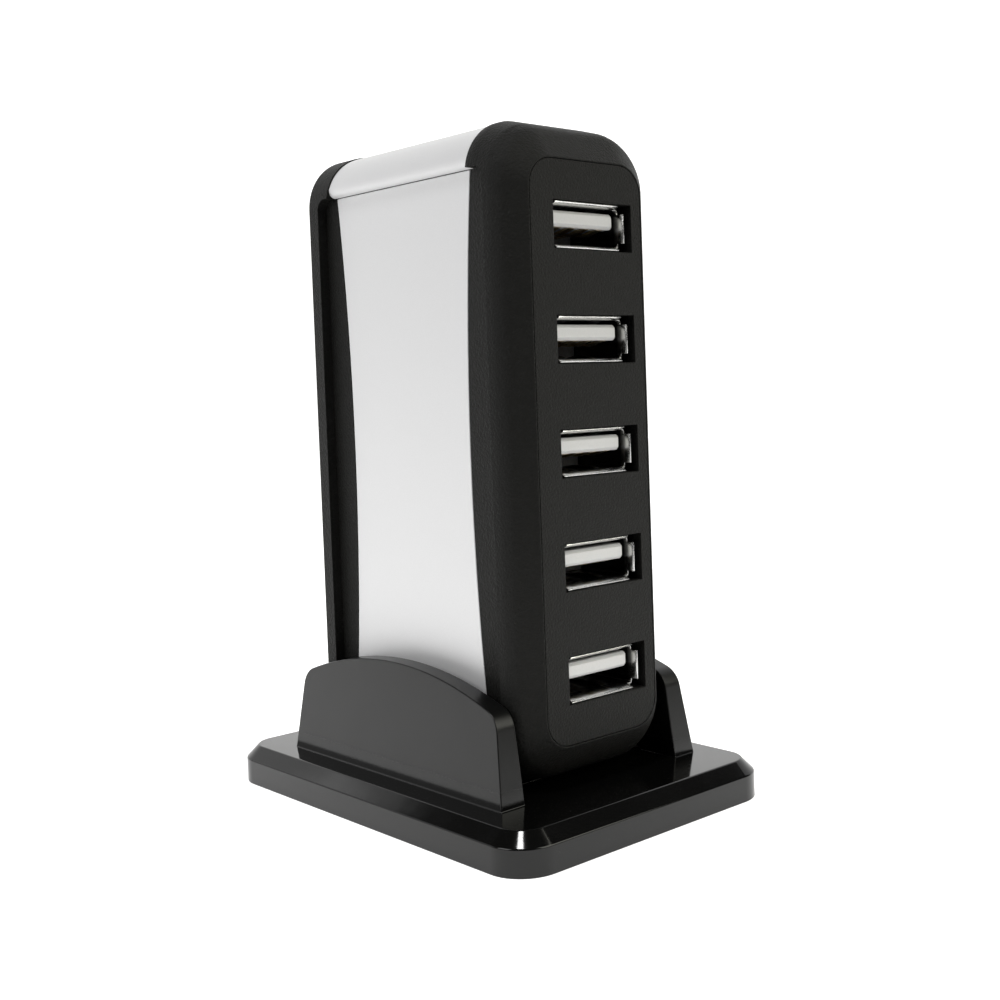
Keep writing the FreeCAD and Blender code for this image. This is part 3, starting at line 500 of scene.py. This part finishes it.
# %% [markdown]
# One call for a soft moulding.
# Every moulding goes the same way: copy, change of shape if it needs one, smooth shading, bevel.
# Bevelling by hand would pick edges one by one. The Bevel modifier finds them by their angle, and
# it also keeps the flat faces flat in the light.

# %% Soft copies


def apply_new(piece, kind, **settings):
    """Adds one modifier, sets it and applies it."""
    take(piece)
    bpy.ops.object.modifier_add(type=kind)
    modifier = piece.modifiers[-1]
    for name, value in settings.items():
        setattr(modifier, name, value)
    bpy.ops.object.modifier_apply(modifier=modifier.name)


def soft_copy(name, width_mm, shape=None):
    """Copy of a node with bevelled edges, which stands for it. Shape may change it before that."""
    piece = merged_copy(name, "soft")
    if shape:
        shape(piece)
    bpy.ops.object.mode_set(mode="OBJECT")
    bpy.ops.object.shade_smooth_by_angle(angle=SHARP)
    apply_new(
        piece,
        "BEVEL",
        width=width_mm * MM,
        segments=2,
        limit_method="ANGLE",
        angle_limit=SHARP,
        miter_outer="MITER_ARC",
        use_clamp_overlap=True,
        harden_normals=True,
    )
    finish_piece(piece, name)
    print(piece.name, len(piece.data.polygons), "faces")


print("edges turned by more than", round(math.degrees(SHARP)), "degrees get a bevel")

# %% [markdown]
# The knee of the front bezel.
# Between the rim and the face the front moulding turns twice. On the real thing the first turn, the
# knee, is a soft curve of about four millimetres. A wide bevel would do on the straight sides, but
# it tears in the corners, where the triangles run in all directions. So rows are cut round the
# bezel, and every row near the knee is drawn in a little, most at the knee itself. That follows the
# curve in the corners as well.

# %% Rows round the bezel
KNEE_START = 18.6 * MM
KNEE = 20.1 * MM
KNEE_END = 21.1 * MM
KNEE_INSET = 0.3 * MM
KNEE_ROWS = [depth * MM for depth in (18.8, 19.15, 19.5, 19.8, 20.3, 20.5, 20.7, 20.9)]
BEZEL_MIDDLE = 47.0 * MM
BEZEL_HALF_WIDE = 12.6 * MM
BEZEL_HALF_TALL = 40.2 * MM


def slanted(face):
    return 0.05 < -face.normal.y < 0.95


def on_bezel(vertex):
    return KNEE_START < -vertex.co.y < KNEE_END and any(map(slanted, vertex.link_faces))


def draw_in(piece, depth):
    """In edit mode, draws the bezel's vertices at one depth towards the middle of the face."""
    bpy.ops.mesh.select_all(action="DESELECT")
    for vertex in bmesh.from_edit_mesh(piece.data).verts:
        if on_bezel(vertex) and abs(vertex.co.y + depth) < SAME:
            vertex.select_set(True)
    reach = KNEE - KNEE_START if depth < KNEE else KNEE_END - KNEE
    inset = KNEE_INSET * (1 - abs(depth - KNEE) / reach) ** 2
    scale = (1 - inset / BEZEL_HALF_WIDE, 1, 1 - inset / BEZEL_HALF_TALL)
    bpy.ops.transform.resize(value=scale, center_override=(0, -depth, BEZEL_MIDDLE))


def round_knee(piece):
    """In edit mode, cuts rows round the bezel and draws each of them in by its share."""
    for depth in KNEE_ROWS:
        bpy.ops.mesh.select_mode(type="FACE")
        bpy.ops.mesh.select_all(action="DESELECT")
        for face in bmesh.from_edit_mesh(piece.data).faces:
            depths = [-vertex.co.y for vertex in face.verts]
            face.select_set(slanted(face) and min(depths) < depth < max(depths))
        bpy.ops.mesh.bisect(plane_co=(0, -depth, 0), plane_no=(0, 1, 0))
    bpy.ops.mesh.select_mode(type="VERT")
    found = bmesh.from_edit_mesh(piece.data).verts
    for depth in sorted({round(-vertex.co.y / SAME) * SAME for vertex in found if on_bezel(vertex)}):
        draw_in(piece, depth)


print("rows cut round the bezel:", len(KNEE_ROWS))

# %% [markdown]
# The mouldings.
# Large mouldings have the roundest edges, because their tools are polished by hand. Thin plates and
# lacquered strips keep sharper ones. So every piece has its own width, and only the front housing
# changes its shape too.

# %% Soft mouldings
SHAPES = {"front_housing": round_knee}
MOULDINGS = {
    "stand": 0.25,
    "front_housing": 0.2,
    "rear_housing": 0.2,
    "port_plate": 0.06,
    "left_side_panel": 0.12,
    "right_side_panel": 0.12,
    "top_strip": 0.15,
    "bottom_strip": 0.15,
}
for name, width in MOULDINGS.items():
    soft_copy(name, width, shape=SHAPES.get(name))

# %% [markdown]
# Socket shells.
# A USB socket is folded from steel strip of 0.3 mm. Pressing starts from a flat sheet. Here it is
# quicker to start from an open box: its ends are deleted, and its four long edges are bevelled to
# folds.

# %% One folded tube
TUBE = Vector((13.1, 12.55, 5.36)) * MM
FOLD = 0.5 * MM


def on_wide_wall(point):
    return abs(point.z) > TUBE.z / 2 - TINY


def on_tall_wall(point):
    return abs(point.x) > TUBE.x / 2 - TINY


bpy.ops.object.select_all(action="DESELECT")
bpy.ops.mesh.primitive_cube_add(size=1)
shell = bpy.context.object
shell.name = "pressed_shell"
bpy.ops.object.mode_set(mode="EDIT")
bpy.ops.mesh.select_all(action="SELECT")
bpy.ops.transform.resize(value=TUBE)
bpy.ops.transform.translate(value=(0, TUBE.y / 2, 0))
pick(shell, lambda p: abs(p.y - TUBE.y / 2) > TUBE.y / 2 - TINY)
bpy.ops.mesh.delete(type="ONLY_FACE")
folds = pick(shell, lambda p: on_wide_wall(p) and on_tall_wall(p), "EDGE")
bpy.ops.mesh.bevel(offset=FOLD, segments=3, affect="EDGES")
print("folds of the tube:", folds)

# %% [markdown]
# Slots and springs.
# Each wide wall has two springs, cut free on three sides and bowed inwards, that grip the plug. A
# Boolean would cut the slots but leave ragged faces. So cuts across the walls mark them out first,
# the faces in them are deleted, and the springs are pushed in row by row.

# %% Slots and springs of the shell
SPRING_MIDDLE = 3.1 * MM
SPRING_HALF = 1.1 * MM
SLOT = 0.35 * MM
SPRING_TIP = 1.4 * MM
SPRING_ROOT = 9.0 * MM
SPRING_BOW = ((1.4, 0.1), (2.2, 0.35), (3.2, 0.5), (4.6, 0.42), (6.2, 0.2))
TAB_HALF_WIDE = 5.45 * MM
TAB_HALF_TALL = 1.87 * MM
AXES = {"x": Vector((1, 0, 0)), "y": Vector((0, 1, 0)), "z": Vector((0, 0, 1))}


def slice_across(axis, places):
    """In edit mode, cuts new edges into every face along planes across one axis."""
    for place in places:
        bpy.ops.mesh.select_all(action="SELECT")
        bpy.ops.mesh.bisect(plane_co=AXES[axis] * place, plane_no=AXES[axis])


def spring_sides(half):
    """Where both sides of both springs lie, for springs of one half width."""
    return [side * SPRING_MIDDLE + edge for side in (-1, 1) for edge in (-half, half)]


def in_slot(point):
    off = abs(abs(point.x) - SPRING_MIDDLE)
    if not on_wide_wall(point) or off > SPRING_HALF + SLOT or not SPRING_TIP - SLOT < point.y < SPRING_ROOT:
        return False
    return off > SPRING_HALF or point.y < SPRING_TIP


slice_across("x", spring_sides(SPRING_HALF) + spring_sides(SPRING_HALF + SLOT))
slice_across("x", [-TAB_HALF_WIDE, TAB_HALF_WIDE])
slice_across("y", [SPRING_TIP - SLOT, SPRING_ROOT] + [distance * MM for distance, bow in SPRING_BOW])
slice_across("z", [-TAB_HALF_TALL, TAB_HALF_TALL])
slots = pick(shell, in_slot)
bpy.ops.mesh.delete(type="FACE")
for wall in (-1, 1):
    for distance, bow in SPRING_BOW:
        pick(
            shell,
            lambda p: on_wide_wall(p)
            and p.z * wall > 0
            and abs(p.y - distance * MM) < TINY
            and abs(abs(p.x) - SPRING_MIDDLE) < SPRING_HALF + TINY,
            "VERT",
        )
        bpy.ops.transform.translate(value=(0, 0, -wall * bow * MM))
print("slot faces cut away:", slots)

# %% [markdown]
# Tabs and thickness.
# Four tabs at the mouth are bent outwards, so that a plug finds its way in. Each is extruded from
# the edge of its wall in three short steps that lean more and more. The sheet gets its thickness
# last, as one Solidify, so every part of it is equally thick.

# %% Tabs, thickness and soft edges of the shell
SHEET = 0.3 * MM
SHEET_EDGE = 0.05 * MM
SHEET_SHARP = math.radians(40)
TAB_STEPS = ((0.35, 0.03), (0.3, 0.1), (0.3, 0.2))
SIDE_SPREAD = 0.45
TABS = (
    (Vector((0, 0, 1)), 1.0, lambda p: abs(p.x) < TAB_HALF_WIDE),
    (Vector((0, 0, -1)), 1.0, lambda p: abs(p.x) < TAB_HALF_WIDE),
    (Vector((1, 0, 0)), SIDE_SPREAD, lambda p: abs(p.z) < TAB_HALF_TALL),
    (Vector((-1, 0, 0)), SIDE_SPREAD, lambda p: abs(p.z) < TAB_HALF_TALL),
)
for way, spread, along in TABS:
    wall_place = abs(way.dot(TUBE)) / 2
    pick(shell, lambda p: p.y < TINY and p.dot(way) > wall_place - TINY and along(p), "EDGE")
    for forward, outward in TAB_STEPS:
        step = way * outward * spread * MM - AXES["y"] * forward * MM
        bpy.ops.mesh.extrude_region_move(TRANSFORM_OT_translate={"value": step})
bpy.ops.mesh.select_all(action="SELECT")
bpy.ops.mesh.normals_make_consistent(inside=False)
bpy.ops.object.mode_set(mode="OBJECT")
apply_new(shell, "SOLIDIFY", thickness=SHEET, offset=-1, use_even_offset=True)
apply_new(shell, "BEVEL", width=SHEET_EDGE, segments=2, limit_method="ANGLE", angle_limit=SHEET_SHARP)
bpy.ops.object.shade_smooth_by_angle(angle=SHARP)
print("pressed shell:", len(shell.data.polygons), "faces")

# %% [markdown]
# Seven sockets.
# All sockets come from the same press tool, so the shell is copied to every place where the packed
# model has one. The two at the back look the other way and are turned half round.

# %% Shells in their places
SOCKETS = [f"port_{index}" for index in range(1, 6)] + ["rear_port_1", "rear_port_2"]
TAB_LENGTH = sum(forward for forward, outward in TAB_STEPS) * MM


def box_of(name):
    """Lowest and highest corner of a node."""
    points = [nodes[name].matrix_world @ Vector(corner) for corner in nodes[name].bound_box]
    return Vector(map(min, zip(*points))), Vector(map(max, zip(*points)))


for label in SOCKETS:
    low, high = box_of(f"{label}_shell")
    middle = (low + high) / 2
    rear = middle.y > 0
    mouth = Vector((middle.x, high.y - TAB_LENGTH if rear else low.y + TAB_LENGTH, middle.z))
    piece = bpy.data.objects.new(f"{label}_shell_pressed", shell.data.copy())
    bpy.context.scene.collection.objects.link(piece)
    piece.data.transform(Matrix.Translation(mouth) @ Matrix.Rotation(math.pi if rear else 0, 4, "Z"))
    finish_piece(piece, f"{label}_shell")
bpy.data.objects.remove(shell)
print("shells placed:", len(SOCKETS))

# %% [markdown]
# Tongues.
# The tip of the white tongue is chamfered all round, so that a plug does not catch on it, and its
# block at the back is eased into the shell. The tip's edges all lie in one plane, so they are
# picked by their place and bevelled with one segment, before the fine bevel that every moulding
# gets.

# %% One tongue
TONGUE_EDGE = 0.08
TIP_CHAMFER = 0.4 * MM
BLOCK_HALF_TALL = 2.3 * MM
BLOCK_EASE = 0.18 * MM


def shape_tongue(piece):
    """In edit mode, chamfers the tip and eases the block at the back into the shell."""
    heights = [v.co.z for v in piece.data.vertices]
    middle = (min(heights) + max(heights)) / 2
    tip = max((v.co.y for v in piece.data.vertices), key=abs)
    for way in (-1, 1):
        pick(piece, lambda p: way * (p.z - middle) > BLOCK_HALF_TALL, "VERT")
        bpy.ops.transform.translate(value=(0, 0, -way * BLOCK_EASE))
    pick(piece, lambda p: abs(p.y - tip) < TINY, "EDGE")
    bpy.ops.mesh.bevel(offset=TIP_CHAMFER, segments=1, affect="EDGES")


print("tongue tips are chamfered by", TIP_CHAMFER / MM, "mm")

# %% [markdown]
# Spring contacts.
# Under each tongue lie four contacts. They are not flat: each is a spring whose tip is tucked into
# the tongue and whose middle bows away, so that it presses on the plug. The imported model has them
# straight, so a copy is cut across at a few places and its rows are pushed up or down.

# %% Tongues and contacts in their places
CONTACT_BOW = ((0.0, -0.25), (0.7, -0.1), (1.6, 0.15), (2.6, 0.35), (3.8, 0.3), (5.0, 0.12), (5.8, 0.0))


def spring_contacts(name):
    """Copy of a group of contacts, bowed row by row from its tip inwards."""
    low, high = box_of(name)
    inward = 1 if low.y < 0 else -1
    tip = low.y if inward > 0 else high.y
    rows = [(tip + inward * distance * MM, bow * MM) for distance, bow in CONTACT_BOW]
    piece = merged_copy(name, "sprung")
    slice_across("y", [row for row, bow in rows])
    for row, bow in rows:
        pick(piece, lambda p: abs(p.y - row) < TINY, "VERT")
        bpy.ops.transform.translate(value=(0, 0, -bow))
    bpy.ops.object.mode_set(mode="OBJECT")
    bpy.ops.object.shade_smooth_by_angle(angle=SHARP)
    finish_piece(piece, name)


for label in SOCKETS:
    soft_copy(f"{label}_insulator", TONGUE_EDGE, shape=shape_tongue)
    spring_contacts(f"{label}_contacts")
print("tongues and contact groups:", len(SOCKETS))

# %% [markdown]
# The back.
# Behind are the small socket for the computer and the round jack for the mains adapter. Both are
# plain mouldings and pressings, so broken edges are enough.

# %% Soft copies at the back
BACK_PIECES = {
    "upstream_port_shell": 0.06,
    "upstream_port_insulator": 0.06,
    "power_jack_body": 0.15,
    "power_jack_pin": 0.2,
}
for name, width in BACK_PIECES.items():
    soft_copy(name, width)
